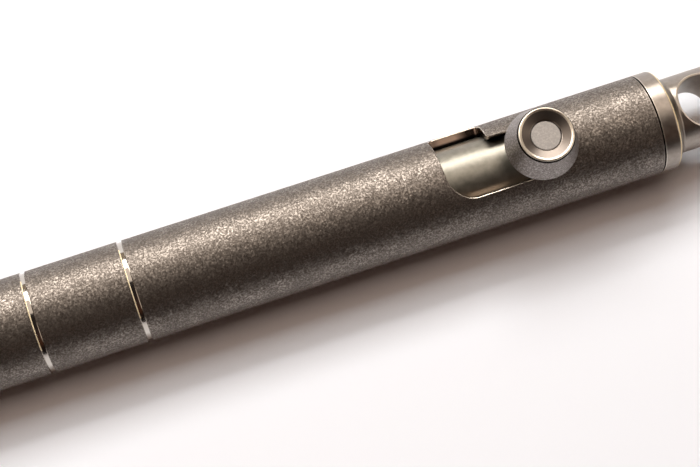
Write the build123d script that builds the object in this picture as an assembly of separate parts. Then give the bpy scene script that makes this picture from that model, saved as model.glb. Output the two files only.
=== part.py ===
from build123d import *
import math
import os

# Bolt-action tactical pen, millimetres.
# The pen lies along X on the plane z = 0, its tail towards +X and its bolt knob pointing up (+Z).
# The origin is under the middle of the pen. It is drawn at rest, with the bolt back and the refill in.
# Stations are distances along the pen, counted from the front face of the nose.
# The sizes grow outwards from the refill, which is a standard part, to the barrel of 12.5 mm.

os.makedirs("parts", exist_ok=True)

# Refill
refill_length = 98.1
refill_radius = 2.95
refill_wall = 0.3
refill_joint_fit = 0.02
refill_spigot_length = 4.0
point_out = 3.3
point_radius = 1.15
point_length = 10.6
point_cone_length = 2.4
point_lip = 0.12
point_spigot_length = 3.0
ink_way_radius = 0.3
ball_radius = 0.5
ball_proud = 0.3
ball_play = 0.03
shoulder_neck_wall = 0.35
shoulder_neck_length = 1.0
shoulder_lip = 0.125
shoulder_cone_length = 1.2
shoulder_bore_radius = 0.8
plug_head_length = 3.2
plug_slot_width = 0.8
plug_slot_depth = 1.4
plug_slot_count = 3

# Bolt carriage
carriage_wall = 1.85
carriage_play = 0.1
carriage_lead = 3.55
carriage_rear_length = 7.0
carriage_edge = 0.3
carriage_seal_to_front = 1.2
carriage_relief_wall = 1.9
carriage_relief_length = 2.0
refill_fit = 0.1
refill_rear_to_knob = 4.2
refill_pad_thickness = 1.0
refill_pad_play = 0.25
seat_depth = 0.6
seat_play = 0.1

# Barrel
barrel_wall = 1.25
barrel_edge = 0.12
groove_width = 0.66
groove_depth = 0.18
groove_pitch = 11.87
groove_count = 3
groove_to_front = 9.12

# Bolt slot
slot_width = 6.5
bolt_travel = 8.7
notch_end_deg = 72.0
notch_corner_radius = 0.9
tooth_radius = 0.45
slot_edge_radius = 0.15

# Screwed joints at both ends of the barrel
thread_pitch = 1.0
thread_depth = 0.42
thread_play = 0.08
nose_thread_turns = 5
tail_thread_turns = 3
nose_spigot_lead = 1.1
tail_spigot_lead = 0.8
seal_section_radius = 0.5
seal_groove_spare = 0.3
seal_land = 0.8
seal_fit = 0.03

# Nose cone
nose_length = 24.0
nose_tip_wall = 0.9
nose_tip_edge = 0.3
nose_blend_share = 0.9
grip_groove_count = 4
grip_groove_width = 0.6
grip_groove_depth = 0.2
grip_groove_pitch = 1.5
grip_to_seam = 1.8
grip_to_cone = 3.6
tip_play = 0.15
tip_bore_edge = 0.2
spring_pocket_wall = 0.5
refill_way_lead = 0.4

# Return spring
wire_radius = 0.225
spring_play = 0.325
spring_turns = 8
spring_end_gap = 0.03
arcs_per_turn = 4

# Tail cap
cap_ring_length = 2.1
cap_ring_edge_radius = 0.5
shoulder_length = 1.05
shoulder_drop = 1.5
neck_root_radius = 0.3
cap_end_radius = 1.7
lanyard_hole_radius = 3.2
lanyard_hole_edge = 0.28
lanyard_hole_to_shoulder = 0.53
lanyard_hole_to_striker = 0.92
cap_spigot_wall = 1.2
cap_relief_length = 4.5
buffer_thickness = 1.0
buffer_step = 0.2
buffer_gap = 0.1

# Striker in the tail
striker_radius = 1.5
striker_fit = 0.02
striker_socket_depth = 2.6
striker_proud = 1.5
striker_tip_radius = 0.35
striker_tip_round = 0.3

# Bolt knob
knob_gap = 0.7
knob_height = 4.2
knob_cover = 1.2
knob_draw = 1.05
knob_base_edge = 0.25
rim_step = 0.1
rim_width = 0.28
rim_height = 0.28
rim_edge = 0.08
dish_depth = 0.43
dish_floor_land = 0.07

# Bolt stem, its bush and its lock screw
stem_thread_step = 0.15
stem_thread_pitch = 0.7
stem_thread_depth = 0.35
stem_thread_turns = 9
stem_end_drop = 0.12
stem_end_edge = 0.08
stem_fit = 0.03
stem_hole_spare = 0.5
bush_clearance = 0.15
bush_wall = 1.27
bush_edge = 0.15
lock_screw_radius = 1.25
lock_screw_length = 3.0
lock_socket_width = 1.3
lock_socket_depth = 1.2

# One overrun for every cut, and how near an edge lies to a surface to count as on it
overrun = 1.0
near = 0.03

# Radii, from the refill outwards
shoulder_neck_radius = point_radius + shoulder_neck_wall
spring_radius = shoulder_neck_radius + spring_play + wire_radius
shoulder_step_radius = spring_radius + wire_radius + shoulder_lip
spring_pocket_radius = spring_radius + wire_radius + spring_play
refill_inner_radius = refill_radius - refill_wall - refill_joint_fit
refill_way_radius = refill_radius + 2 * refill_fit
refill_pocket_radius = refill_radius + refill_fit
carriage_radius = refill_pocket_radius + carriage_wall
barrel_bore_radius = carriage_radius + carriage_play
barrel_radius = barrel_bore_radius + barrel_wall
spigot_radius = barrel_bore_radius - thread_play
thread_root_radius = spigot_radius - thread_depth
seal_radius = barrel_bore_radius - seal_fit - seal_section_radius
seal_groove_radius = seal_radius - seal_section_radius - seal_fit
cap_relief_radius = thread_root_radius - cap_spigot_wall
neck_radius = barrel_radius - shoulder_drop
tip_bore_radius = point_radius + tip_play
nose_tip_radius = tip_bore_radius + nose_tip_wall

# Stations, from the nose to the tail
seal_groove_width = 2 * seal_section_radius + seal_groove_spare
nose_spigot_length = 2 * seal_land + seal_groove_width + nose_thread_turns * thread_pitch + nose_spigot_lead
tail_spigot_length = 2 * seal_land + seal_groove_width + tail_thread_turns * thread_pitch + tail_spigot_lead
grip_length = grip_to_cone + grip_to_seam + (grip_groove_count - 1) * grip_groove_pitch + grip_groove_width
nose_cone_length = nose_length - grip_length
nose_taper = (barrel_radius - nose_tip_radius) / (nose_cone_length - nose_tip_edge)
spring_seat = nose_tip_edge + (spring_pocket_radius + spring_pocket_wall - nose_tip_radius) / nose_taper
seam_front = nose_length
refill_tip = bolt_travel - point_out
shoulder_front = refill_tip + point_length
step_station = shoulder_front + shoulder_neck_length
tube_front = step_station + shoulder_cone_length
refill_rear = refill_tip + refill_length
tube_rear = refill_rear - plug_head_length
spring_front = spring_seat + spring_end_gap + wire_radius
spring_rear = step_station - spring_end_gap - wire_radius
slot_half = slot_width / 2
knob_station = refill_rear + refill_rear_to_knob
notch_station = knob_station - bolt_travel
carriage_front = notch_station - slot_half - carriage_lead
carriage_rear = knob_station + carriage_rear_length
cap_front = carriage_rear + buffer_gap + buffer_thickness
seam_rear = cap_front + tail_spigot_length
neck_start = seam_rear + cap_ring_length + shoulder_length
lanyard_hole_station = neck_start + lanyard_hole_to_shoulder + lanyard_hole_radius
striker_socket = lanyard_hole_station + lanyard_hole_radius + lanyard_hole_to_striker
cap_end = striker_socket + striker_socket_depth
overall_length = cap_end + striker_proud

# Heights above the pen's axis, and radii about the bolt stem
seat_height = carriage_radius - seat_depth
stem_end = seat_height - stem_thread_turns * stem_thread_pitch
knob_base_height = barrel_radius + knob_gap
knob_top_height = knob_base_height + knob_height
dish_floor_height = knob_top_height - dish_depth
bush_radius = slot_half - bush_clearance
stem_radius = bush_radius - bush_wall - stem_fit
knob_base_radius = slot_half + knob_cover
knob_cone_top_radius = knob_base_radius - knob_draw
rim_radius = knob_cone_top_radius - rim_step
dish_radius = rim_radius - rim_width
dish_floor_radius = stem_radius + stem_fit + dish_floor_land
stem_thread_radius = stem_radius + stem_thread_step


def x_at(station):
    """World X of a station."""
    return station - overall_length / 2


def turned(points, rounds=()):
    """A solid turned about the pen's axis from (station, radius) points.

    rounds lists (station, radius, size) for the corners to round.
    """
    flat = [(x_at(station), radius) for station, radius in points]
    face = make_face(Polyline(*flat, close=True))
    for station, radius, size in rounds:
        corner = face.vertices().sort_by_distance((x_at(station), radius, 0))[0]
        face = fillet(corner, size)
    return revolve(face, Axis.X, 360)


def tube(start, end, inner, outer):
    """A plain tube about the pen's axis between two stations; a bar when inner is zero."""
    return turned([(start, inner), (start, outer), (end, outer), (end, inner)])


def upright(points):
    """A solid turned about the bolt stem from (radius, height) points."""
    face = make_face(Plane.XZ * Polyline(*points, close=True))
    return Pos(x_at(knob_station), 0, 0) * revolve(face, Axis.Z, 360)


def post(low, high, radius):
    """A round bar about the bolt stem between two heights."""
    return upright([(0, low), (radius, low), (radius, high), (0, high)])


def thread_rings(start, turns, pitch, crest, depth):
    """Outline of a thread drawn as V rings, as (distance, radius) points from root to root."""
    root = crest - depth
    points = [(start, root)]
    for turn in range(turns):
        points.append((start + (turn + 1 / 2) * pitch, crest))
        points.append((start + (turn + 1) * pitch, root))
    return points


def spigot_outline(turns, length):
    """Outline of a screwed spigot with its seal groove, as (distance from the seam, radius) points."""
    groove_end = seal_land + seal_groove_width
    thread_start = groove_end + seal_land
    points = [
        (0, spigot_radius),
        (seal_land, spigot_radius),
        (seal_land, seal_groove_radius),
        (groove_end, seal_groove_radius),
        (groove_end, spigot_radius),
        (thread_start, spigot_radius),
    ]
    points += thread_rings(thread_start, turns, thread_pitch, spigot_radius, thread_depth)
    points.append((length, thread_root_radius))
    return points


def ring_groove(low, width, depth):
    """Outline of a shallow groove with slanted walls in the pen's skin, as (station, radius) points."""
    high = low + width
    lean = depth / 2
    floor = barrel_radius - depth
    return [(low, barrel_radius), (low + lean, floor), (high - lean, floor), (high, barrel_radius)]


def seal_ring(station):
    """An O-ring about the pen's axis, with its section centred on a station."""
    section = Pos(x_at(station), seal_radius, 0) * Circle(seal_section_radius)
    return revolve(section, Axis.X, 360)


def save(shape, node):
    """Lifts a piece from the pen's axis to the plane z = 0 and writes it."""
    export_step(Pos(0, 0, barrel_radius) * shape, f"parts/{node}.step")


def slot_cutter():
    """The J-shaped slot: what a round cutter leaves that runs forward and then turns about the pen."""
    height = barrel_radius + overrun
    wall = Pos(0, 0, height / 2)
    cutter = wall * Cylinder(slot_half, height)
    run = wall * Box(bolt_travel, slot_width, height)
    straight = Pos(x_at(knob_station - bolt_travel / 2), 0, 0) * run
    straight += Pos(x_at(knob_station), 0, 0) * cutter
    straight += Pos(x_at(notch_station), 0, 0) * cutter

    reach = 2 * height
    end = math.radians(notch_end_deg)
    sector = Polyline((0, 0), (0, reach), (reach * math.sin(end), reach * math.cos(end)), close=True)
    notch = extrude(make_face(Plane.YZ * sector), slot_width, dir=(1, 0, 0))
    notch = Pos(x_at(notch_station) - slot_half, 0, 0) * notch
    end_edges = notch.edges().filter_by(lambda edge: edge.length > height)
    end_edges = end_edges.sort_by(lambda edge: edge.center().Y)[-2:]
    notch = fillet(end_edges, notch_corner_radius)
    return straight + notch


def barrel():
    """Titanium tube with bright-cut grooves, bored through, with the bolt slot near its tail."""
    outline = [(seam_front, barrel_bore_radius), (seam_front, barrel_radius - barrel_edge)]
    outline.append((seam_front + barrel_edge, barrel_radius))
    for count in range(groove_count):
        middle = seam_front + groove_to_front + count * groove_pitch
        outline += ring_groove(middle - groove_width / 2, groove_width, groove_depth)
    outline.append((seam_rear - barrel_edge, barrel_radius))
    outline += [(seam_rear, barrel_radius - barrel_edge), (seam_rear, barrel_bore_radius)]
    shape = turned(outline) - slot_cutter()

    tooth_x = x_at(notch_station) + slot_half
    tooth = shape.edges().filter_by(Axis.Z).sort_by_distance((tooth_x, slot_half, barrel_radius))[0]
    shape = fillet(tooth, tooth_radius)

    rim = shape.edges().filter_by(is_slot_rim)
    return fillet(rim, slot_edge_radius)


def is_slot_rim(edge):
    """True for an edge of the slot that lies on the barrel's outside."""
    spots = [edge.position_at(share) for share in (0, 1 / 3, 2 / 3, 1)]
    on_skin = all(abs(math.hypot(spot.Y, spot.Z) - barrel_radius) < near for spot in spots)
    ends = (notch_station - slot_width, knob_station + slot_width)
    inside = all(x_at(ends[0]) < spot.X < x_at(ends[1]) for spot in spots)
    return on_skin and inside


def nose_cone():
    """Turned nose with a ringed grip, a seat for the spring and the hole for the refill's point."""
    way_start = step_station - bolt_travel - refill_way_lead
    end = seam_front + nose_spigot_length
    outline = [
        (0, tip_bore_radius + tip_bore_edge),
        (0, nose_tip_radius - nose_tip_edge),
        (nose_tip_edge, nose_tip_radius),
        (nose_cone_length, barrel_radius),
    ]
    for count in range(grip_groove_count):
        low = nose_cone_length + grip_to_cone + count * grip_groove_pitch
        outline += ring_groove(low, grip_groove_width, grip_groove_depth)
    outline += [(seam_front - barrel_edge, barrel_radius), (seam_front, barrel_radius - barrel_edge)]
    for distance, radius in spigot_outline(nose_thread_turns, nose_spigot_length):
        outline.append((seam_front + distance, radius))
    outline += [
        (end, refill_way_radius),
        (way_start, refill_way_radius),
        (way_start, spring_pocket_radius),
        (spring_seat, spring_pocket_radius),
        (spring_seat, tip_bore_radius),
        (tip_bore_edge, tip_bore_radius),
    ]
    blend_radius = nose_blend_share * grip_to_cone / math.tan(math.atan(nose_taper) / 2)
    return turned(outline, [(nose_cone_length, barrel_radius, blend_radius)])


def tail_cap():
    """Ring, bevelled shoulder and neck of the tail, with its screwed spigot and the lanyard hole."""
    ring_end = seam_rear + cap_ring_length
    spigot = spigot_outline(tail_thread_turns, tail_spigot_length)
    outline = [(cap_front + cap_relief_length, 0), (cap_front + cap_relief_length, cap_relief_radius)]
    outline.append((cap_front, cap_relief_radius))
    for distance, radius in reversed(spigot):
        outline.append((seam_rear - distance, radius))
    outline += [
        (seam_rear, barrel_radius - barrel_edge),
        (seam_rear + barrel_edge, barrel_radius),
        (ring_end, barrel_radius),
        (neck_start, neck_radius),
        (cap_end, neck_radius),
        (cap_end, striker_radius),
        (striker_socket, striker_radius),
        (striker_socket, 0),
    ]
    rounds = [
        (ring_end, barrel_radius, cap_ring_edge_radius),
        (neck_start, neck_radius, neck_root_radius),
        (cap_end, neck_radius, cap_end_radius),
    ]
    shape = turned(outline, rounds)
    hole_x = x_at(lanyard_hole_station)
    shape -= Pos(hole_x, 0, 0) * Cylinder(lanyard_hole_radius, 2 * barrel_radius)
    rims = shape.edges().filter_by(lambda edge: is_hole_rim(edge, hole_x))
    return chamfer(rims, lanyard_hole_edge)


def is_hole_rim(edge, hole_x):
    """True for an edge where the lanyard hole meets the outside of the neck."""
    spots = [edge.position_at(share) for share in (0, 1 / 4, 3 / 4, 1)]
    return all(abs(math.hypot(spot.X - hole_x, spot.Y) - lanyard_hole_radius) < near for spot in spots)


def tail_buffer():
    """Rubber ring on the spigot's end that the carriage comes back against."""
    return tube(cap_front - buffer_thickness, cap_front, cap_relief_radius, thread_root_radius - buffer_step)


def striker():
    """Hard metal point pressed into the tail's end."""
    radius = striker_radius - striker_fit
    outline = [(striker_socket, 0), (striker_socket, radius), (cap_end, radius)]
    outline.append((overall_length, striker_tip_radius))
    outline.append((overall_length, 0))
    return turned(outline, [(overall_length, striker_tip_radius, striker_tip_round)])


def bolt_carriage():
    """Slider that holds the refill in front and the bolt's stem on top."""
    groove_front = carriage_front + carriage_seal_to_front
    groove_rear = groove_front + seal_groove_width
    pocket_end = refill_rear + refill_pad_thickness
    relief_radius = carriage_radius - carriage_relief_wall
    relief_front = carriage_rear - carriage_relief_length
    screw_hole = lock_screw_radius + stem_fit
    outline = [
        (carriage_front, refill_pocket_radius),
        (carriage_front, carriage_radius - carriage_edge),
        (carriage_front + carriage_edge, carriage_radius),
        (groove_front, carriage_radius),
        (groove_front, seal_groove_radius),
        (groove_rear, seal_groove_radius),
        (groove_rear, carriage_radius),
        (carriage_rear - carriage_edge, carriage_radius),
        (carriage_rear, carriage_radius - carriage_edge),
        (carriage_rear, relief_radius),
        (relief_front, relief_radius),
        (relief_front, 0),
        (pocket_end, 0),
        (pocket_end, refill_pocket_radius),
    ]
    shape = turned(outline)
    shape -= tube(knob_station, carriage_rear, 0, screw_hole)
    shape -= post(stem_end - stem_hole_spare, carriage_radius, stem_thread_radius + stem_fit)
    return shape - post(seat_height, carriage_radius + overrun, bush_radius + seat_play)


def bolt_stem():
    """Stud that screws into the carriage and carries bush and knob; its end shows in the dish."""
    top = dish_floor_height - stem_end_drop
    thread = (stem_thread_turns, stem_thread_pitch, stem_thread_radius, stem_thread_depth)
    outline = [(0, stem_end)]
    outline += [(radius, height) for height, radius in thread_rings(stem_end, *thread)]
    outline += [(stem_radius, seat_height), (stem_radius, top - stem_end_edge)]
    outline += [(stem_radius - stem_end_edge, top), (0, top)]
    return upright(outline)


def slot_bush():
    """Spacer sleeve on the stem that runs in the slot and carries the knob."""
    bore = stem_radius + stem_fit
    return upright([
        (bore, seat_height),
        (bush_radius - bush_edge, seat_height),
        (bush_radius, seat_height + bush_edge),
        (bush_radius, knob_base_height),
        (bore, knob_base_height),
    ])


def bolt_knob():
    """Conical knob with a stepped rim and a dished top."""
    bore = stem_radius + stem_fit
    step = knob_top_height - rim_height
    return upright([
        (bore, knob_base_height),
        (knob_base_radius - knob_base_edge, knob_base_height),
        (knob_base_radius, knob_base_height + knob_base_edge),
        (knob_cone_top_radius, step),
        (rim_radius, step),
        (rim_radius, knob_top_height - rim_edge),
        (rim_radius - rim_edge, knob_top_height),
        (dish_radius, knob_top_height),
        (dish_floor_radius, dish_floor_height),
        (bore, dish_floor_height),
    ])


def stem_lock_screw():
    """Grub screw behind the stem, with a hexagon socket."""
    front = knob_station + stem_thread_radius + stem_fit
    rear = front + lock_screw_length
    hexagon = Plane.YZ * RegularPolygon(lock_socket_width / 2, 6, major_radius=False)
    socket = extrude(hexagon, lock_socket_depth, dir=(1, 0, 0))
    return tube(front, rear, 0, lock_screw_radius) - Pos(x_at(rear - lock_socket_depth), 0, 0) * socket


def refill_pad():
    """Rubber pad between the refill and the bottom of the carriage's pocket."""
    return tube(refill_rear, refill_rear + refill_pad_thickness, 0, refill_pocket_radius - refill_pad_play)


def refill_plug():
    """Moulded rear plug of the refill with a notched crown."""
    shape = turned([
        (tube_rear - refill_spigot_length, shoulder_bore_radius),
        (tube_rear - refill_spigot_length, refill_inner_radius),
        (tube_rear, refill_inner_radius),
        (tube_rear, refill_radius),
        (refill_rear, refill_radius),
        (refill_rear, shoulder_bore_radius),
    ])
    slot = Box(plug_slot_depth, 2 * refill_radius + overrun, plug_slot_width)
    slot = Pos(x_at(refill_rear - plug_slot_depth / 2), 0, 0) * slot
    for count in range(plug_slot_count):
        shape -= Rot(180 * count / plug_slot_count, 0, 0) * slot
    return shape


def refill_tube():
    """Metal tube of the refill."""
    return tube(tube_front, tube_rear, refill_radius - refill_wall, refill_radius)


def refill_shoulder():
    """Stepped front of the refill that the return spring pushes on."""
    seat = shoulder_front + point_spigot_length
    return turned([
        (shoulder_front, point_radius + refill_joint_fit),
        (shoulder_front, shoulder_neck_radius),
        (step_station, shoulder_neck_radius),
        (step_station, shoulder_step_radius),
        (tube_front, refill_radius),
        (tube_front, refill_inner_radius),
        (tube_front + refill_spigot_length, refill_inner_radius),
        (tube_front + refill_spigot_length, shoulder_bore_radius),
        (seat, shoulder_bore_radius),
        (seat, point_radius + refill_joint_fit),
    ])


def refill_point():
    """Point tube of the refill, closed in round the writing ball."""
    front = refill_tip + ball_proud
    rear = shoulder_front + point_spigot_length
    shape = turned([
        (front, 0),
        (front, ball_radius + point_lip),
        (front + point_cone_length, point_radius),
        (rear, point_radius),
        (rear, 0),
    ])
    shape -= Pos(x_at(refill_tip + ball_radius), 0, 0) * Sphere(ball_radius + ball_play)
    return shape - tube(refill_tip + ball_radius, rear, 0, ink_way_radius)


def writing_ball():
    """Hard ball that rolls in the end of the point."""
    return Pos(x_at(refill_tip + ball_radius), 0, 0) * Sphere(ball_radius)


def spring_place(turn):
    """Point and direction on the spring's centre line after a number of turns."""
    pitch = (spring_rear - spring_front) / spring_turns
    angle = 2 * math.pi * turn
    point = Vector(
        x_at(spring_front + pitch * turn),
        spring_radius * math.cos(angle),
        spring_radius * math.sin(angle),
    )
    along = Vector(
        pitch / (2 * math.pi),
        -spring_radius * math.sin(angle),
        spring_radius * math.cos(angle),
    )
    return point, along.normalized()


def two_arcs(start, start_along, end, end_along):
    """Two equal arcs that leave one point and reach the next in the given directions."""
    reach = end - start
    sum_along = start_along + end_along
    a = sum_along.dot(sum_along) - 4
    b = -2 * reach.dot(sum_along)
    c = reach.dot(reach)
    arm = (-b - math.sqrt(b * b - 4 * a * c)) / (2 * a)
    first_corner = start + start_along * arm
    last_corner = end - end_along * arm
    middle = (first_corner + last_corner) / 2
    middle_along = last_corner - first_corner
    first = TangentArc(start, middle, tangent=start_along)
    return [first, TangentArc(middle, end, tangent=middle_along)]


def return_spring():
    """Compression spring between the nose and the refill's shoulder, one wire swept along its coil."""
    steps = spring_turns * arcs_per_turn
    arcs = []
    for step in range(steps):
        start, start_along = spring_place(step / arcs_per_turn)
        end, end_along = spring_place((step + 1) / arcs_per_turn)
        arcs += two_arcs(start, start_along, end, end_along)
    path = Wire([arc.edge() for arc in arcs])
    start, along = spring_place(0)
    section = Plane(origin=start, z_dir=along) * Circle(wire_radius)
    return sweep(section, path=path)


def report_spring_gap():
    """Prints the least gap between one coil and the next, measured on points."""
    points_per_turn = 72
    least = None
    for index in range(points_per_turn):
        here, _ = spring_place(index / points_per_turn)
        for step in range(points_per_turn // 2, 3 * points_per_turn // 2):
            other, _ = spring_place((index + step) / points_per_turn)
            distance = (other - here).length - 2 * wire_radius
            least = distance if least is None else min(least, distance)
    print(f"return spring: least gap to itself {least:.2f} mm")


save(barrel(), "barrel")
save(nose_cone(), "nose_cone")
save(seal_ring(seam_front + seal_land + seal_groove_width / 2), "nose_o_ring")
save(tail_cap(), "tail_cap")
save(seal_ring(seam_rear - seal_land - seal_groove_width / 2), "tail_o_ring")
save(tail_buffer(), "tail_buffer")
save(striker(), "striker")
save(bolt_carriage(), "bolt_carriage")
save(seal_ring(carriage_front + carriage_seal_to_front + seal_groove_width / 2), "carriage_o_ring")
save(bolt_stem(), "bolt_stem")
save(slot_bush(), "slot_bush")
save(bolt_knob(), "bolt_knob")
save(stem_lock_screw(), "stem_lock_screw")
save(refill_pad(), "refill_pad")
save(refill_plug(), "refill_plug")
save(refill_tube(), "refill_tube")
save(refill_shoulder(), "refill_shoulder")
save(refill_point(), "refill_point")
save(writing_ball(), "writing_ball")
save(return_spring(), "return_spring")
report_spring_gap()
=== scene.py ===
import math

import bpy
import numpy as np
from mathutils import Matrix, Vector


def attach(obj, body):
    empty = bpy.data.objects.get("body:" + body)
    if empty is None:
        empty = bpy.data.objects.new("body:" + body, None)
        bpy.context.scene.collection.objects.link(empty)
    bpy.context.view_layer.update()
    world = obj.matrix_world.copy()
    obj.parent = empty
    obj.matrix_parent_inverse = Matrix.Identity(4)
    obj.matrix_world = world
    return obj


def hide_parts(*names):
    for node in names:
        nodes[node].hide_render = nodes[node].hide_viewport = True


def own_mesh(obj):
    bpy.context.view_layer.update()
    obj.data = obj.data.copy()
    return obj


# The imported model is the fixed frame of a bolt-action pen. It lies along X on the plane z = 0 with its
# tail towards +X and its bolt knob up. Lengths here are metres; MM turns the pen's millimetres into them.
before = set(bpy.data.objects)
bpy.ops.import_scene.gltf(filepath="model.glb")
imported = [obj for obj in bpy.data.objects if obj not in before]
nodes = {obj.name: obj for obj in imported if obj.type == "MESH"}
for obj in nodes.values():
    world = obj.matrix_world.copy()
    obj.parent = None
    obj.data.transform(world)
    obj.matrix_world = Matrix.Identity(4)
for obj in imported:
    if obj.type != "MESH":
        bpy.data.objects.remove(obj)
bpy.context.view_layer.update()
MM = 0.001

# Barrel: a grade 5 titanium tube, bored, with three grooves cut bright into it and the bolt slot milled
# through near its tail. It is blasted and then tumbled with stones, which leaves a warm grey skin with
# fine bright specks. The cutter's own surface shows in the grooves.
AXIS_HEIGHT = 6.25 * MM
BARREL_RADIUS = 6.25 * MM
HALF_LENGTH = 68.8 * MM


def linear(code):
    """The linear colour of an sRGB hex code: each channel is ((c + 0.055) / 1.055) to the power 2.4."""
    channels = np.array([int(code[i : i + 2], 16) for i in (1, 3, 5)]) / 255
    low = channels <= 0.04045
    values = np.where(low, channels / 12.92, ((channels + 0.055) / 1.055) ** 2.4)
    return (*values.tolist(), 1.0)


def add(tree, kind, inputs=(), **settings):
    """Adds a node. settings are its own properties; inputs pairs a socket in use with a value or a link.

    A socket is given by its name or by its number among those in use; a link is a socket, or a node whose
    first output in use is meant.
    """
    node = tree.nodes.new(kind)
    for name, value in settings.items():
        setattr(node, name, value)
    sockets = [socket for socket in node.inputs if socket.enabled]
    names = [socket.name for socket in sockets]
    for place, value in dict(inputs).items():
        socket = sockets[names.index(place) if isinstance(place, str) else place]
        if isinstance(value, bpy.types.Node):
            value = next(output for output in value.outputs if output.enabled)
        if isinstance(value, bpy.types.NodeSocket):
            tree.links.new(value, socket)
        else:
            socket.default_value = value
    return node


def new_material(name):
    """An empty node material with its output, as (material, tree, output node)."""
    material = bpy.data.materials.new(name)
    material.use_nodes = True
    tree = material.node_tree
    tree.nodes.clear()
    return material, tree, add(tree, "ShaderNodeOutputMaterial")


def dress(piece, material):
    """Gives a piece its material in place of those it came with."""
    piece.data.materials.clear()
    piece.data.materials.append(material)


def axis_distance(tree, place):
    """x, and the distance from the pen's axis: the root of y squared plus (z - axis height) squared."""
    parts = add(tree, "ShaderNodeSeparateXYZ", {0: place})
    height = add(tree, "ShaderNodeMath", {0: parts.outputs["Z"], 1: AXIS_HEIGHT}, operation="SUBTRACT")
    flat = add(tree, "ShaderNodeCombineXYZ", {"Y": parts.outputs["Y"], "Z": height})
    return parts.outputs["X"], add(tree, "ShaderNodeVectorMath", {0: flat}, operation="LENGTH")


# The nicks of real tumbling stones are 0.02 to 0.1 mm wide. They are drawn at least twice as coarse,
# because finer ones would melt into an even grey at this distance. The fades are the noise values
# between which flecks and clouds come in.
FACET_SIZE = 0.19 * MM
FACET_TIP = 0.25
FLECK_SIZE = 0.23 * MM
FLECK_FADE = (0.46, 0.6)
CLOUD_SIZE = 2.2 * MM
CLOUD_FADE = (0.35, 0.7)
SKIN_ROUGH = 0.53
FLECK_ROUGH = 0.31

# Depths below the outer surface: where the tumbled skin ends, and where the slot's rubbed rim ends. Shade
# is painted on the slot's wall: it is dark up to the first of two radii near its bore edge and clears by
# the second.
SKIN_DEPTH = 0.03 * MM
RIM_DEPTH = 0.15 * MM
RIM_ROUGH = 0.2
WALL_ROUGH = 0.22
BORE_SHADE_RADII = (5.25 * MM, 5.5 * MM)

# A screwed joint: half its dark gap, half its burnished band, how deep the dark goes, and its dark colour,
# which also paints the shade at the slot's bore edge. The dark and the slot's rim fade out at a share of
# their size.
JOINT_HALF = 0.1 * MM
JOINT_BURNISH = 0.26 * MM
JOINT_DEPTH = 0.2 * MM
JOINT_AND_SHADE_CODE = "#15110f"
FADE_SHARE = 1.15

# The grooves lie in front of an x. A highlight is painted as a fine pale line on their front walls, and
# stops at the pen's sides.
GROOVES_END = -5 * MM
GROOVE_ROUGH = 0.12
GROOVE_COUNT = 3
GROOVE_PITCH = 11.87 * MM
FIRST_WALL = -36.01 * MM
GROOVE_WALLS = [FIRST_WALL + count * GROOVE_PITCH for count in range(GROOVE_COUNT)]
WALL_HIGHLIGHT_HALF = 0.14 * MM
WALL_HIGHLIGHT_REACH = 4.3 * MM
WALL_HIGHLIGHT_ROUGH = 0.6
WALL_HIGHLIGHT_METALLIC = 0.3

# Light is painted on the far end wall of the notch as a paler patch, palest in the middle; the patch is
# rougher too
PAINTED_LIGHT_X = 29.5 * MM
PAINTED_LIGHT_HALF = (1.0 * MM, 2.6 * MM)
PAINTED_LIGHT_Y = 4.2 * MM
PAINTED_LIGHT_ROUGH = 0.55


def joint_masks(tree, x, distance, seam):
    """1 on the burnished edges beside a joint, and 1 in the dark of the joint's own narrow gap."""
    away = add(tree, "ShaderNodeMath", {0: x, 1: seam}, operation="SUBTRACT")
    away = add(tree, "ShaderNodeMath", {0: away}, operation="ABSOLUTE")
    ramp = {"Value": away, "From Min": JOINT_BURNISH, "From Max": JOINT_HALF}
    burnish = add(tree, "ShaderNodeMapRange", ramp)
    ramp = {"Value": away, "From Min": FADE_SHARE * JOINT_HALF, "From Max": JOINT_HALF}
    joint = add(tree, "ShaderNodeMapRange", ramp)
    outer = {0: distance, 1: BARREL_RADIUS - JOINT_DEPTH}
    outer = add(tree, "ShaderNodeMath", outer, operation="GREATER_THAN")
    return burnish, add(tree, "ShaderNodeMath", {0: joint, 1: outer}, operation="MULTIPLY")


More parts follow.
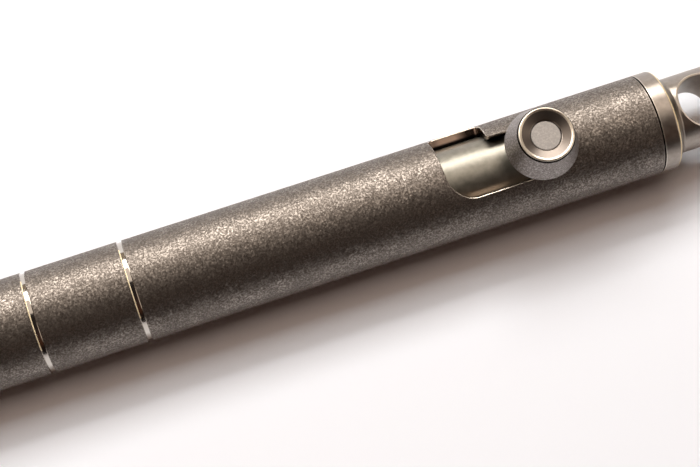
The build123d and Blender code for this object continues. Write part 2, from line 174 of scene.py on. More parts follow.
def stonewashed_titanium(name, seam, cone_end=-HALF_LENGTH):
    """Tumbled titanium: a matte warm grey skin of small tipped facets that glint one by one.

    Each cell of a cell pattern tips the surface by its own random colour less middle grey, so a facet
    mirrors the lamps or the dark as a whole. Flecks are brighter and smoother, and strongest in clouds.
    Under the skin the cutter's own surface shows: a mirror in the grooves, satin in the slot below its
    rubbed rim. Light is painted on the notch's far end wall, shade at the slot's bore edge and a
    highlight on the grooves' front walls. seam is the x of a screwed joint, a dark line between two
    burnished edges. In front of cone_end the piece tapers and has its skin at every radius.
    """
    material, tree, output = new_material(name)
    place = add(tree, "ShaderNodeTexCoord").outputs["Object"]
    x, distance = axis_distance(tree, place)

    facets = add(tree, "ShaderNodeTexVoronoi", {"Vector": place, "Scale": 1 / FACET_SIZE})
    tip = {0: facets.outputs["Color"], 1: (0.5, 0.5, 0.5)}
    tip = add(tree, "ShaderNodeVectorMath", tip, operation="SUBTRACT")
    noise = {"Vector": place, "Scale": 1 / FLECK_SIZE, "Detail": 4.0, "Roughness": 0.7}
    flecks = add(tree, "ShaderNodeTexNoise", noise)
    noise = {"Vector": place, "Scale": 1 / CLOUD_SIZE, "Detail": 3.0}
    clouds = add(tree, "ShaderNodeTexNoise", noise)
    ramp = {"Value": flecks, "From Min": FLECK_FADE[0], "From Max": FLECK_FADE[1]}
    fleck = add(tree, "ShaderNodeMapRange", ramp)
    ramp = {"Value": clouds, "From Min": CLOUD_FADE[0], "From Max": CLOUD_FADE[1], "To Min": 0.5}
    cloud = add(tree, "ShaderNodeMapRange", ramp)
    share = add(tree, "ShaderNodeMath", {0: fleck, 1: cloud}, operation="MULTIPLY")

    burnish, joint = joint_masks(tree, x, distance, seam)
    share = add(tree, "ShaderNodeMath", {0: share, 1: burnish}, operation="MAXIMUM")
    mix = {"Factor": share, "A": linear("#635c56"), "B": linear("#9e968e")}
    skin_colour = add(tree, "ShaderNodeMix", mix, data_type="RGBA")
    skin_rough = add(tree, "ShaderNodeMix", {"Factor": share, "A": SKIN_ROUGH, "B": FLECK_ROUGH})

    below = add(tree, "ShaderNodeMath", {0: BARREL_RADIUS, 1: distance}, operation="SUBTRACT")
    ramp = {"Value": below, "From Min": 2 * SKIN_DEPTH, "From Max": SKIN_DEPTH}
    skin = add(tree, "ShaderNodeMapRange", ramp)
    taper = add(tree, "ShaderNodeMath", {0: x, 1: cone_end}, operation="LESS_THAN")
    skin = add(tree, "ShaderNodeMath", {0: skin, 1: taper}, operation="MAXIMUM")
    ramp = {"Value": below, "From Min": FADE_SHARE * RIM_DEPTH, "From Max": RIM_DEPTH}
    rim = add(tree, "ShaderNodeMapRange", ramp)

    groove = add(tree, "ShaderNodeMath", {0: x, 1: GROOVES_END}, operation="LESS_THAN")
    # Painted light: a paler, rougher patch on the notch's far end wall
    away = add(tree, "ShaderNodeMath", {0: x, 1: PAINTED_LIGHT_X}, operation="SUBTRACT")
    away = add(tree, "ShaderNodeMath", {0: away}, operation="ABSOLUTE")
    ramp = {"Value": away, "From Min": PAINTED_LIGHT_HALF[1], "From Max": PAINTED_LIGHT_HALF[0]}
    near = add(tree, "ShaderNodeMapRange", ramp)
    y = add(tree, "ShaderNodeSeparateXYZ", {0: place}).outputs["Y"]
    end = add(tree, "ShaderNodeMath", {0: y, 1: PAINTED_LIGHT_Y}, operation="GREATER_THAN")
    painted_light = add(tree, "ShaderNodeMath", {0: near, 1: end}, operation="MULTIPLY")
    mix = {"Factor": painted_light, "A": linear("#857468"), "B": linear("#d6baa6")}
    wall_colour = add(tree, "ShaderNodeMix", mix, data_type="RGBA")
    wall_rough = add(tree, "ShaderNodeMix", {"Factor": painted_light, "A": WALL_ROUGH, "B": PAINTED_LIGHT_ROUGH})

    # Painted shade: the slot's wall darkens towards its bore edge
    ramp = {"Value": distance, "From Min": BORE_SHADE_RADII[0], "From Max": BORE_SHADE_RADII[1]}
    lit = add(tree, "ShaderNodeMapRange", ramp)
    mix = {"Factor": lit, "A": linear(JOINT_AND_SHADE_CODE), "B": wall_colour}
    wall_colour = add(tree, "ShaderNodeMix", mix, data_type="RGBA")
    mix = {"Factor": rim, "A": wall_colour, "B": linear("#dcd3c6")}
    slot_colour = add(tree, "ShaderNodeMix", mix, data_type="RGBA")
    slot_rough = add(tree, "ShaderNodeMix", {"Factor": rim, "A": wall_rough, "B": RIM_ROUGH})
    mix = {"Factor": groove, "A": slot_colour, "B": linear("#c4beb6")}
    cut_colour = add(tree, "ShaderNodeMix", mix, data_type="RGBA")
    cut_rough = add(tree, "ShaderNodeMix", {"Factor": groove, "A": slot_rough, "B": GROOVE_ROUGH})
    mix = {"Factor": skin, "A": cut_colour, "B": skin_colour}
    colour = add(tree, "ShaderNodeMix", mix, data_type="RGBA")
    rough = add(tree, "ShaderNodeMix", {"Factor": skin, "A": cut_rough, "B": skin_rough})
    mix = {"Factor": joint, "A": colour, "B": linear(JOINT_AND_SHADE_CODE)}
    colour = add(tree, "ShaderNodeMix", mix, data_type="RGBA")

    tilt = add(tree, "ShaderNodeMath", {0: skin, 1: FACET_TIP}, operation="MULTIPLY")
    tip = add(tree, "ShaderNodeVectorMath", {0: tip, "Scale": tilt}, operation="SCALE")
    square = add(tree, "ShaderNodeNewGeometry").outputs["Normal"]
    tipped = add(tree, "ShaderNodeVectorMath", {0: square, 1: tip}, operation="ADD")
    tipped = add(tree, "ShaderNodeVectorMath", {0: tipped}, operation="NORMALIZE")

    # Painted highlight: a pale, rougher, less metallic line on each groove's front wall, away from the
    # sides
    wall_highlight = 0.0
    for wall in GROOVE_WALLS:
        at_wall = add(tree, "ShaderNodeMath", {0: x, 1: wall, 2: WALL_HIGHLIGHT_HALF}, operation="COMPARE")
        wall_highlight = add(tree, "ShaderNodeMath", {0: wall_highlight, 1: at_wall}, operation="MAXIMUM")
    cut = add(tree, "ShaderNodeMath", {0: 1.0, 1: skin}, operation="SUBTRACT")
    wall_highlight = add(tree, "ShaderNodeMath", {0: wall_highlight, 1: cut}, operation="MULTIPLY")
    side = add(tree, "ShaderNodeMath", {0: y, 1: 0.0, 2: WALL_HIGHLIGHT_REACH}, operation="COMPARE")
    wall_highlight = add(tree, "ShaderNodeMath", {0: wall_highlight, 1: side}, operation="MULTIPLY")
    mix = {"Factor": wall_highlight, "A": colour, "B": linear("#fff0cc")}
    colour = add(tree, "ShaderNodeMix", mix, data_type="RGBA")
    rough = add(tree, "ShaderNodeMix", {"Factor": wall_highlight, "A": rough, "B": WALL_HIGHLIGHT_ROUGH})
    metal = add(tree, "ShaderNodeMix", {"Factor": wall_highlight, "A": 1.0, "B": WALL_HIGHLIGHT_METALLIC})
    surface = {"Base Color": colour, "Metallic": metal, "Roughness": rough, "Normal": tipped}
    shader = add(tree, "ShaderNodeBsdfPrincipled", surface)
    tree.links.new(shader.outputs[0], output.inputs[0])
    return material


TAIL_SEAM = 122.5 * MM - HALF_LENGTH
barrel_titanium = stonewashed_titanium("stonewashed_titanium", TAIL_SEAM)
dress(nodes["barrel"], barrel_titanium)

# Nose cone: turned from the same titanium and tumbled with the barrel, with four grip rings. It screws
# into the barrel's front on a spigot with an O-ring. The skin covers the whole cone.
NOSE_SEAM = 24 * MM - HALF_LENGTH
CONE_END = 15.3 * MM - HALF_LENGTH
nose_titanium = stonewashed_titanium("stonewashed_nose_titanium", NOSE_SEAM, CONE_END)
dress(nodes["nose_cone"], nose_titanium)

# Seals: nitrile O-rings in the grooves of the nose, the tail and the bolt carriage. Moulded rubber is
# nearly black with a soft sheen. The mould's grain is a few hundredths of a millimetre wide and is drawn
# coarser than that, to show at all.
RUBBER_GRAIN = 0.12 * MM
RUBBER_GRAIN_DEPTH = 0.004 * MM
RUBBER_ROUGH = (0.45, 0.62)


def moulded_rubber(name, code):
    """Black rubber with the faint grain of its mould."""
    material, tree, output = new_material(name)
    place = add(tree, "ShaderNodeTexCoord").outputs["Object"]
    noise = {"Vector": place, "Scale": 1 / RUBBER_GRAIN, "Detail": 3.0}
    grain = add(tree, "ShaderNodeTexNoise", noise)
    relief = {"Height": grain, "Strength": 0.6, "Distance": RUBBER_GRAIN_DEPTH}
    bump = add(tree, "ShaderNodeBump", relief)
    rough = add(tree, "ShaderNodeMix", {"Factor": grain, "A": RUBBER_ROUGH[0], "B": RUBBER_ROUGH[1]})
    mix = {"Factor": grain, "A": linear(code), "B": linear("#2b2a29")}
    colour = add(tree, "ShaderNodeMix", mix, data_type="RGBA")
    surface = {"Base Color": colour, "Roughness": rough, "Normal": bump, "IOR": 1.52}
    shader = add(tree, "ShaderNodeBsdfPrincipled", surface)
    tree.links.new(shader.outputs[0], output.inputs[0])
    return material


seal_rubber = moulded_rubber("nitrile_rubber", "#161514")
for seal in ("nose_o_ring", "tail_o_ring", "carriage_o_ring"):
    dress(nodes[seal], seal_rubber)

# Return spring: stainless spring wire wound on a mandrel, its end coils closed, held between the nose's
# seat and the refill's shoulder. Drawn wire is smooth and bright.
SPRING_SEAT = 3.25 * MM - HALF_LENGTH
SPRING_END = 16.98 * MM - HALF_LENGTH
WIRE_RADIUS = 0.225 * MM
COIL_RADIUS = 2.05 * MM
COILS = 8
CLOSED_COILS = 1.0
CLOSED_PITCH = 2.1 * WIRE_RADIUS


def grid_mesh(name, points, close_first=False, close_second=False):
    """A mesh of quads over a grid of points, rows by columns by 3; either way round may be closed."""
    rows, columns = points.shape[:2]
    first = np.arange(rows if close_first else rows - 1)
    second = np.arange(columns if close_second else columns - 1)
    i, j = (a.ravel() for a in np.meshgrid(first, second, indexing="ij"))
    next_i, next_j = (i + 1) % rows, (j + 1) % columns
    corners = (i * columns + j, i * columns + next_j, next_i * columns + next_j, next_i * columns + j)
    faces = np.stack(corners, 1)
    mesh = bpy.data.meshes.new(name)
    mesh.from_pydata(points.reshape(-1, 3), [], faces)
    mesh.polygons.foreach_set("use_smooth", np.ones(len(faces), bool))
    mesh.update()
    piece = bpy.data.objects.new(name, mesh)
    bpy.context.scene.collection.objects.link(piece)
    return piece


def coil_wire(name, start, end, steps_per_coil=48, sides=12):
    """A wire of round section along a helix.

    The centre line is (start + rise, R cos a, R sin a). The rise per turn is the closed pitch at both
    ends, opens out over one turn and is what is left between them. The section is a circle of the
    wire's radius, square to the line.
    """
    turns = np.linspace(0, COILS, COILS * steps_per_coil + 1)
    inner_length = end - start - 2 * WIRE_RADIUS
    open_pitch = (inner_length - 2 * CLOSED_COILS * CLOSED_PITCH) / (COILS - 2 * CLOSED_COILS)
    from_end = np.minimum(turns, COILS - turns)
    opening = np.clip(from_end - CLOSED_COILS + 0.5, 0, 1)
    pitch = CLOSED_PITCH + (open_pitch - CLOSED_PITCH) * opening
    rise = np.concatenate([[0], np.cumsum((pitch[1:] + pitch[:-1]) / 2 * np.diff(turns))])
    rise *= inner_length / rise[-1]
    angle = 2 * math.pi * turns
    radial = np.stack([0 * angle, np.cos(angle), np.sin(angle)], 1)
    centre = radial * COIL_RADIUS + [start + WIRE_RADIUS, 0, AXIS_HEIGHT]
    centre[:, 0] += rise
    tangent = np.gradient(centre, axis=0)
    tangent /= np.linalg.norm(tangent, axis=1)[:, None]
    side = np.cross(tangent, radial)
    around = np.linspace(0, 2 * math.pi, sides, endpoint=False)[None, :, None]
    ring = np.cos(around) * radial[:, None] + np.sin(around) * side[:, None]
    return grid_mesh(name, centre[:, None] + WIRE_RADIUS * ring, close_second=True)


# Metal that is drawn or turned and not blasted carries fine rings about the pen's axis, which draw the
# highlight out across it. A lathe's feed leaves rings 0.03 to 0.08 mm apart. Those of the larger pieces
# are drawn up to twice as far apart, to show at all. Wear makes the roughness vary between two shares.
WEAR_SIZE = 0.7 * MM
WEAR_SHARES = (0.85, 1.2)

# Painted highlights on the tail cap: pale, rougher lines on the lanyard hole's edge and on the edge
# between ring and shoulder
HOLE_X = 129.38 * MM - HALF_LENGTH
HOLE_EDGE_RADIUS = 3.34 * MM
HOLE_EDGE_HALF = 0.126 * MM
HOLE_EDGE_ROUGH = 0.7
SHOULDER_X = 55.8 * MM
SHOULDER_HALF = 0.1 * MM
SHOULDER_ROUGH = 0.6


def turned_metal(name, code, rough, ring_pitch, ring_height, along="X", seam=None, hole=None):
    """Lathe-turned metal: rings at ring_pitch along an axis and slight unevenness in colour.

    A band pattern's scale of pi / 10 per length gives one ring per length. seam is the x of a screwed
    joint, a dark line beside a burnished edge. hole is the x of a cap's lanyard hole; on that cap, pale
    lines are painted as highlights on the hole's edge and on the shoulder's edge.
    """
    material, tree, output = new_material(name)
    place = add(tree, "ShaderNodeTexCoord").outputs["Object"]
    pattern = {"Vector": place, "Scale": math.pi / (10 * ring_pitch), "Distortion": 0.0, "Detail": 0.0}
    rings = add(tree, "ShaderNodeTexWave", pattern, bands_direction=along)
    noise = {"Vector": place, "Scale": 1 / WEAR_SIZE, "Detail": 4.0}
    wear = add(tree, "ShaderNodeTexNoise", noise)
    mix = {"Factor": wear, "A": linear(code), "B": linear("#ffffff")}
    colour = add(tree, "ShaderNodeMix", mix, data_type="RGBA", blend_type="SOFT_LIGHT")
    mix = {"Factor": wear, "A": rough * WEAR_SHARES[0], "B": rough * WEAR_SHARES[1]}
    roughness = add(tree, "ShaderNodeMix", mix)
    if seam is not None:
        burnish, joint = joint_masks(tree, *axis_distance(tree, place), seam)
        mix = {"Factor": burnish, "A": colour, "B": linear("#d8cfc2")}
        colour = add(tree, "ShaderNodeMix", mix, data_type="RGBA")
        mix = {"Factor": joint, "A": colour, "B": linear(JOINT_AND_SHADE_CODE)}
        colour = add(tree, "ShaderNodeMix", mix, data_type="RGBA")
    if hole is not None:
        # Painted highlights: pale lines on the shoulder's edge and round the lanyard hole
        parts = add(tree, "ShaderNodeSeparateXYZ", {0: place})
        edge = {0: parts.outputs["X"], 1: SHOULDER_X, 2: SHOULDER_HALF}
        edge = add(tree, "ShaderNodeMath", edge, operation="COMPARE")
        mix = {"Factor": edge, "A": colour, "B": linear("#e9d9b4")}
        colour = add(tree, "ShaderNodeMix", mix, data_type="RGBA")
        mix = {"Factor": edge, "A": roughness, "B": SHOULDER_ROUGH}
        roughness = add(tree, "ShaderNodeMix", mix)
        aside = add(tree, "ShaderNodeMath", {0: parts.outputs["X"], 1: hole}, operation="SUBTRACT")
        flat = add(tree, "ShaderNodeCombineXYZ", {"X": aside, "Y": parts.outputs["Y"]})
        radius = add(tree, "ShaderNodeVectorMath", {0: flat}, operation="LENGTH")
        edge = {0: radius, 1: HOLE_EDGE_RADIUS, 2: HOLE_EDGE_HALF}
        edge = add(tree, "ShaderNodeMath", edge, operation="COMPARE")
        mix = {"Factor": edge, "A": colour, "B": linear("#ded5c8")}
        colour = add(tree, "ShaderNodeMix", mix, data_type="RGBA")
        mix = {"Factor": edge, "A": roughness, "B": HOLE_EDGE_ROUGH}
        roughness = add(tree, "ShaderNodeMix", mix)
    bump = add(tree, "ShaderNodeBump", {"Height": rings, "Strength": 1.0, "Distance": ring_height})
    surface = {"Base Color": colour, "Metallic": 1.0, "Roughness": roughness, "Normal": bump}
    shader = add(tree, "ShaderNodeBsdfPrincipled", surface)
    tree.links.new(shader.outputs[0], output.inputs[0])
    return material


spring = coil_wire("return_spring_wire", SPRING_SEAT, SPRING_END)
spring_steel = turned_metal(
    "drawn_spring_steel", "#b9b7b4", rough=0.24, ring_pitch=0.05 * MM, ring_height=0.0005 * MM
)
dress(spring, spring_steel)
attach(spring, "barrel_body")
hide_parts("return_spring")
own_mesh(spring)

# Refill: a bright drawn steel tube with a moulded plug behind, a warm yellow brass shoulder, a pale
# nickel silver point and a darker ground carbide ball, with a rubber pad between its plug and the
# carriage.
tube_steel = turned_metal(
    "drawn_steel_tube", "#c3c1bd", rough=0.22, ring_pitch=0.09 * MM, ring_height=0.0004 * MM
)
dress(nodes["refill_tube"], tube_steel)
brass = turned_metal(
    "turned_brass", "#c9a45c", rough=0.25, ring_pitch=0.08 * MM, ring_height=0.0008 * MM
)
dress(nodes["refill_shoulder"], brass)
nickel_silver = turned_metal(
    "turned_nickel_silver", "#c8c2b2", rough=0.2, ring_pitch=0.06 * MM, ring_height=0.0006 * MM
)
dress(nodes["refill_point"], nickel_silver)
carbide = turned_metal(
    "ground_tungsten_carbide", "#8f8f92", rough=0.18, ring_pitch=0.04 * MM, ring_height=0.0003 * MM
)
dress(nodes["writing_ball"], carbide)
dress(nodes["refill_pad"], moulded_rubber("pad_rubber", "#1b1a19"))

# The plug's grain, drawn coarser than a mould's own
PLASTIC_GRAIN = 0.1 * MM
PLASTIC_GRAIN_DEPTH = 0.003 * MM


def moulded_plastic(name, code):
    """Satin moulded plastic, dark blue-grey, with a fine grain and slightly uneven colour."""
    material, tree, output = new_material(name)
    place = add(tree, "ShaderNodeTexCoord").outputs["Object"]
    noise = {"Vector": place, "Scale": 1 / PLASTIC_GRAIN, "Detail": 3.0}
    grain = add(tree, "ShaderNodeTexNoise", noise)
    mix = {"Factor": grain, "A": linear(code), "B": linear("#3c4654")}
    colour = add(tree, "ShaderNodeMix", mix, data_type="RGBA")
    relief = {"Height": grain, "Strength": 0.5, "Distance": PLASTIC_GRAIN_DEPTH}
    bump = add(tree, "ShaderNodeBump", relief)
    surface = {"Base Color": colour, "Roughness": 0.42, "IOR": 1.5, "Normal": bump}
    shader = add(tree, "ShaderNodeBsdfPrincipled", surface)
    tree.links.new(shader.outputs[0], output.inputs[0])
    return material


dress(nodes["refill_plug"], moulded_plastic("moulded_acetal", "#2c3440"))

# Bolt carriage: a titanium slider turned to a smooth satin, bored in front for the refill. It shows
# through the slot, beside the knob.
carriage_titanium = turned_metal(
    "turned_titanium", "#78756c", rough=0.38, ring_pitch=0.16 * MM, ring_height=0.0006 * MM
)
dress(nodes["bolt_carriage"], carriage_titanium)

# Bush and lock screw: a mirror-bright polished steel sleeve on the stem that runs along the slot, and a
# blackened steel grub screw behind the stem, nearly black with a dull sheen.
bush_steel = turned_metal(
    "polished_steel", "#c9c8c5", rough=0.12, ring_pitch=0.07 * MM, ring_height=0.0004 * MM, along="Z"
)
dress(nodes["slot_bush"], bush_steel)
screw_steel = turned_metal(
    "blackened_steel", "#3a3937", rough=0.38, ring_pitch=0.08 * MM, ring_height=0.001 * MM
)
dress(nodes["stem_lock_screw"], screw_steel)

# Stem and knob: the knob is a titanium cone, bead-blasted to a cool matte grey, with a thin rim standing
# on its top; rim and dished top are cut bright, and shade is painted as a dark line at the rim's foot. It
# sits on the stem, whose blasted end closes the middle of the dish.
KNOB_X = 38.9 * MM
KNOB_BASE = AXIS_HEIGHT + 6.95 * MM
KNOB_TOP = AXIS_HEIGHT + 11.15 * MM
RIM_RADIUS = 3.3 * MM
RIM_FOOT = KNOB_TOP - 0.28 * MM
RIM_CREST = KNOB_TOP - 0.09 * MM
STEM_RADIUS = 1.8 * MM

# The dish is cut bright inside a radius and above a height. The stem isn't cut, so its height is above
# all. Shade is painted as a dark line outside a radius near the rim's foot.
DISH_RADIUS = RIM_RADIUS + 0.02 * MM
DISH_LOW = KNOB_TOP - 0.6 * MM
DISH_ROUGH = 0.32
ABOVE_ALL = AXIS_HEIGHT + 25 * MM
SHADE_LINE_RADIUS = RIM_RADIUS - 0.03 * MM
SHADE_LINE_HALF = 0.12 * MM

# The pits of blasting beads are about 0.1 mm wide and are drawn twice as coarse, to show at all. The fade
# is the noise values between which their pale specks come in, and no pits is the noise's middle value.
PIT_SIZE = 0.22 * MM
PIT_DEPTH = 0.01 * MM
PIT_FADE = (0.46, 0.66)
NO_PITS = 0.5


def blasted_titanium(name, code, rough, cut_inside, cut_above):
    """Bead-blasted titanium, even, matte and finely pitted.

    It is cut bright within the radius cut_inside above the height cut_above, palest on the rim's crest.
    """
    material, tree, output = new_material(name)
    place = add(tree, "ShaderNodeTexCoord").outputs["Object"]
    parts = add(tree, "ShaderNodeSeparateXYZ", {0: place})
    noise = {"Vector": place, "Scale": 1 / PIT_SIZE, "Detail": 4.0, "Roughness": 0.7}
    pits = add(tree, "ShaderNodeTexNoise", noise)
    ramp = {"Value": pits, "From Min": PIT_FADE[0], "From Max": PIT_FADE[1]}
    speck = add(tree, "ShaderNodeMapRange", ramp)
    mix = {"Factor": speck, "A": linear(code), "B": linear("#b4afab")}
    colour = add(tree, "ShaderNodeMix", mix, data_type="RGBA")

    aside = add(tree, "ShaderNodeMath", {0: parts.outputs["X"], 1: KNOB_X}, operation="SUBTRACT")
    flat = add(tree, "ShaderNodeCombineXYZ", {"X": aside, "Y": parts.outputs["Y"]})
    radius = add(tree, "ShaderNodeVectorMath", {0: flat}, operation="LENGTH")
    inside = add(tree, "ShaderNodeMath", {0: radius, 1: cut_inside}, operation="LESS_THAN")
    upper = add(tree, "ShaderNodeMath", {0: parts.outputs["Z"], 1: cut_above}, operation="GREATER_THAN")
    bright = add(tree, "ShaderNodeMath", {0: inside, 1: upper}, operation="MULTIPLY")
    crest = add(tree, "ShaderNodeMath", {0: parts.outputs["Z"], 1: RIM_CREST}, operation="GREATER_THAN")
    mix = {"Factor": crest, "A": linear("#756d66"), "B": linear("#e6dccb")}
    cut_colour = add(tree, "ShaderNodeMix", mix, data_type="RGBA")
    mix = {"Factor": bright, "A": colour, "B": cut_colour}
    colour = add(tree, "ShaderNodeMix", mix, data_type="RGBA")
    roughness = add(tree, "ShaderNodeMix", {"Factor": bright, "A": rough, "B": DISH_ROUGH})
    height = add(tree, "ShaderNodeMix", {"Factor": bright, "A": pits, "B": NO_PITS})

    # Painted shade: a dark line outside the rim at its foot
    outside = add(tree, "ShaderNodeMath", {0: radius, 1: SHADE_LINE_RADIUS}, operation="GREATER_THAN")
    foot = {0: parts.outputs["Z"], 1: RIM_FOOT, 2: SHADE_LINE_HALF}
    foot = add(tree, "ShaderNodeMath", foot, operation="COMPARE")
    line = add(tree, "ShaderNodeMath", {0: outside, 1: foot}, operation="MULTIPLY")
    mix = {"Factor": line, "A": colour, "B": linear("#1d1917")}
    colour = add(tree, "ShaderNodeMix", mix, data_type="RGBA")
    bump = add(tree, "ShaderNodeBump", {"Height": height, "Strength": 1.0, "Distance": PIT_DEPTH})
    surface = {"Base Color": colour, "Metallic": 1.0, "Roughness": roughness, "Normal": bump}
    shader = add(tree, "ShaderNodeBsdfPrincipled", surface)
    tree.links.new(shader.outputs[0], output.inputs[0])
    return material


# Corners of the knob's section in millimetres, as (radius, height above the base, rounding), from the bore
# outwards
KNOB_CORNERS = (
    (1.83, 0.0, 0.05),
    (4.2, 0.0, 0.05),
    (4.45, 0.25, 0.12),
    (3.4, 3.92, 0.04),
    (3.3, 3.92, 0.03),
    (3.3, 4.12, 0.07),
    (3.2, 4.2, 0.06),
    (3.08, 4.2, 0.06),
    (3.02, 4.15, 0.05),
    (1.93, 3.77, 0.04),
    (1.83, 3.69, 0.03),
)
GUARD_SHARE = 0.15


def rounded(corners, steps=7):
    """Points of a closed outline with its corners rounded.

    A corner B with neighbours A and C becomes the curve (1-t)^2 P + 2t(1-t) B + t^2 Q, where P and Q lie
    on AB and BC at the rounding's distance from B. A guard point beside each end keeps the flats flat.
    """
    corners = np.array(corners)
    spot, size = corners[:, :2], corners[:, 2:]
    before, after = np.roll(spot, 1, 0) - spot, np.roll(spot, -1, 0) - spot
    before /= np.linalg.norm(before, axis=1)[:, None]
    after /= np.linalg.norm(after, axis=1)[:, None]
    t = np.linspace(0, 1, steps)[None, :, None]
    start, end = spot + before * size, spot + after * size
    curve = (1 - t) ** 2 * start[:, None] + 2 * t * (1 - t) * spot[:, None] + t**2 * end[:, None]
    guard = size * GUARD_SHARE
    curve = np.concatenate([(start + before * guard)[:, None], curve, (end + after * guard)[:, None]], 1)
    return curve.reshape(-1, 2)


def turned_about_stem(name, outline, base, steps=256):
    """A solid turned about the bolt's upright axis: (x0 + r cos a, r sin a, base + h) for every (r, h)."""
    angle = np.linspace(0, 2 * math.pi, steps, endpoint=False)[:, None]
    radius, height = outline[None, :, 0] * MM, outline[None, :, 1] * MM
    x = KNOB_X + radius * np.cos(angle)
    y = radius * np.sin(angle)
    points = np.stack([x, y, base + height + 0 * angle], 2)
    return grid_mesh(name, points, close_first=True, close_second=True)


stem_titanium = blasted_titanium(
    "blasted_stem_titanium", "#a09d9a", rough=0.5, cut_inside=STEM_RADIUS, cut_above=ABOVE_ALL
)
dress(nodes["bolt_stem"], stem_titanium)
knob = turned_about_stem("bolt_knob_turned", rounded(KNOB_CORNERS), KNOB_BASE)
knob_titanium = blasted_titanium(
    "blasted_titanium", "#7d7672", rough=0.45, cut_inside=DISH_RADIUS, cut_above=DISH_LOW
)
dress(knob, knob_titanium)
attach(knob, "bolt")
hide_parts("bolt_knob")

# Tail: a cap turned from titanium to a warm satin, whose ring meets the barrel, with a bevelled shoulder,
# a neck with the lanyard hole, a rubber buffer on its spigot's end, and a hard striker pressed into the
# tail.
satin_titanium = turned_metal(
    "satin_titanium",
    "#857d75",
    rough=0.33,
    ring_pitch=0.16 * MM,
    ring_height=0.0008 * MM,
    seam=TAIL_SEAM,
    hole=HOLE_X,
)
dress(nodes["tail_cap"], satin_titanium)
dress(nodes["tail_buffer"], moulded_rubber("buffer_rubber", "#181716"))
dress(nodes["striker"], carbide)

# Stage: a plain table of matt white paint under soft lamps in a dim warm grey room. Three lamps behind
# and above the pen reach matte surfaces only and throw its shadow towards the camera's side.
TABLE_SIDE = 3.0
table_corners = np.array([[[1, -1, 0], [1, 1, 0]], [[-1, -1, 0], [-1, 1, 0]]]) * TABLE_SIDE / 2
table = grid_mesh("table", table_corners)
table_paint, tree, output = new_material("white_table")
surface = {"Base Color": linear("#fbfcff"), "Roughness": 0.9, "Specular IOR Level": 0.1}
paper = add(tree, "ShaderNodeBsdfPrincipled", surface)
tree.links.new(paper.outputs[0], output.inputs[0])
dress(table, table_paint)


def soft_lamp(name, place, target, size, watts, on, code="#ffffff"):
    """A rectangular soft box at a place, facing a target. It lights only matte or only glossy things."""
    lamp = bpy.data.lights.new(name, "AREA")
    lamp.shape = "RECTANGLE"
    lamp.size, lamp.size_y = size
    lamp.energy = watts
    lamp.color = linear(code)[:3]
    box = bpy.data.objects.new(name, lamp)
    box.location = place
    box.rotation_euler = (Vector(target) - Vector(place)).to_track_quat("-Z", "Y").to_euler()
    box.visible_diffuse = on == "matte"
    box.visible_glossy = on == "glossy"
    bpy.context.scene.collection.objects.link(box)


def over_the_pen(distance, elevation):
    """A place behind and above the pen: (0, distance cos e, distance sin e) for an elevation e."""
    angle = math.radians(elevation)
    return 0.0, distance * math.cos(angle), distance * math.sin(angle)


MIDDLE = (0, 0, 0)
WARM = "#fff0e2"
PALE = "#fffaf4"
soft_lamp("low_key", over_the_pen(0.6, 49.5), MIDDLE, (0.5, 0.15), watts=2.55, on="matte")
soft_lamp("high_key", over_the_pen(0.6, 62.5), MIDDLE, (0.5, 0.2), watts=1.7, on="matte")
soft_lamp("overhead", over_the_pen(0.7, 83), MIDDLE, (0.5, 0.25), watts=0.95, on="matte", code="#ffe6d6")

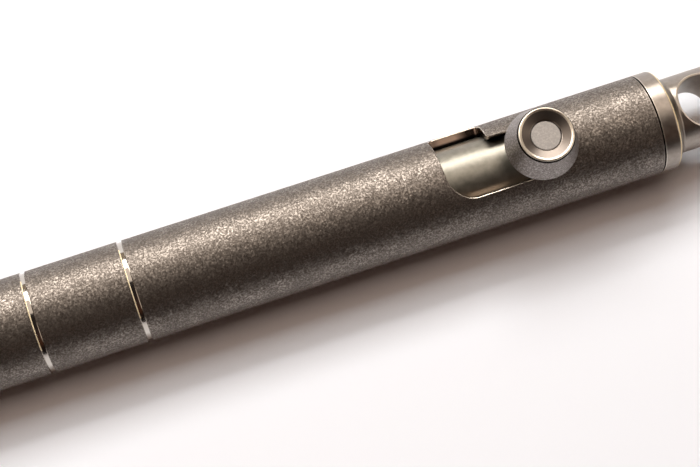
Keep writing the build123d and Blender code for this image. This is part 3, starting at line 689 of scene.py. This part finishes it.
# Lamps that only show as highlights in the metal: a low strip for the long highlight, the broad ceiling
# for the upper side, a fill for the tail's bevels, and a wide dim one off each end for the pen's end faces
STRIP_AIM = (0.05, 0, 0)
TAIL_AIM = (0.04, 0, 0)
END_SIZE = (0.45, 0.3)
soft_lamp("tail_fill", (0.36, 0.1, 0.66), TAIL_AIM, (0.36, 0.4), watts=0.6, on="glossy", code=WARM)
soft_lamp("low_strip", over_the_pen(0.6, 35), STRIP_AIM, (1.2, 0.22), watts=7.5, on="glossy", code=PALE)
soft_lamp("ceiling", over_the_pen(0.7, 62), MIDDLE, (1.2, 0.45), watts=1.75, on="glossy", code=WARM)
soft_lamp("tail_end", (0.52, -0.18, 0.26), MIDDLE, END_SIZE, watts=0.6, on="glossy", code=WARM)
soft_lamp("nose_end", (-0.52, -0.18, 0.26), MIDDLE, END_SIZE, watts=0.6, on="glossy", code=WARM)

# Room: a colour for each height above the horizon, with a paler patch of wall far behind the lamps
world = bpy.data.worlds.new("room")
bpy.context.scene.world = world
world.use_nodes = True
tree = world.node_tree
tree.nodes.clear()
direction = add(tree, "ShaderNodeTexCoord").outputs["Generated"]
parts = add(tree, "ShaderNodeSeparateXYZ", {0: direction})
shade = add(tree, "ShaderNodeValToRGB", {0: parts.outputs["Z"]})
ramp = shade.color_ramp
ramp.elements[0].position, ramp.elements[0].color = 0.0, linear("#4c4644")
ramp.elements[1].position, ramp.elements[1].color = 0.95, linear("#2e2825")
for position, code in ((0.12, "#1a1615"), (0.35, "#261c18"), (0.5, "#4a2e20"), (0.8, "#40302a")):
    ramp.elements.new(position).color = linear(code)
far_wall = {"Value": parts.outputs["Y"], "From Min": 0.88, "From Max": 0.96}
behind_lamps = add(tree, "ShaderNodeMapRange", far_wall)
mix = {"Factor": behind_lamps, "A": shade.outputs["Color"], "B": linear("#a3927f")}
wall = add(tree, "ShaderNodeMix", mix, data_type="RGBA")
glow = add(tree, "ShaderNodeBackground", {"Color": wall, "Strength": 1.0})
add(tree, "ShaderNodeOutputWorld", {"Surface": glow})

# Camera: almost square above the pen and a little towards the side away from the lamps, as the photograph
# was taken. Its focal length and sensor are in Blender's own millimetres.
FOCAL = 83.64
SENSOR = 36.0
EYE = Vector((-7.455, -43.965, 196.685)) * MM
LOOKS_AT = Vector((14.667, -1.483, 6.25)) * MM
PICTURE_UP = Vector((0.30869, 0.92009, 0.24112))
lens = bpy.data.cameras.new("camera")
lens.lens = FOCAL
lens.sensor_width = SENSOR
lens.clip_start = 0.01
back = (EYE - LOOKS_AT).normalized()
right = PICTURE_UP.cross(back).normalized()
above = back.cross(right)
turn = Matrix((right, above, back)).transposed()
camera = bpy.data.objects.new("camera", lens)
camera.matrix_world = Matrix.Translation(EYE) @ turn.to_4x4()
bpy.context.scene.collection.objects.link(camera)
bpy.context.scene.camera = camera
bpy.context.scene.view_settings.view_transform = "Standard"
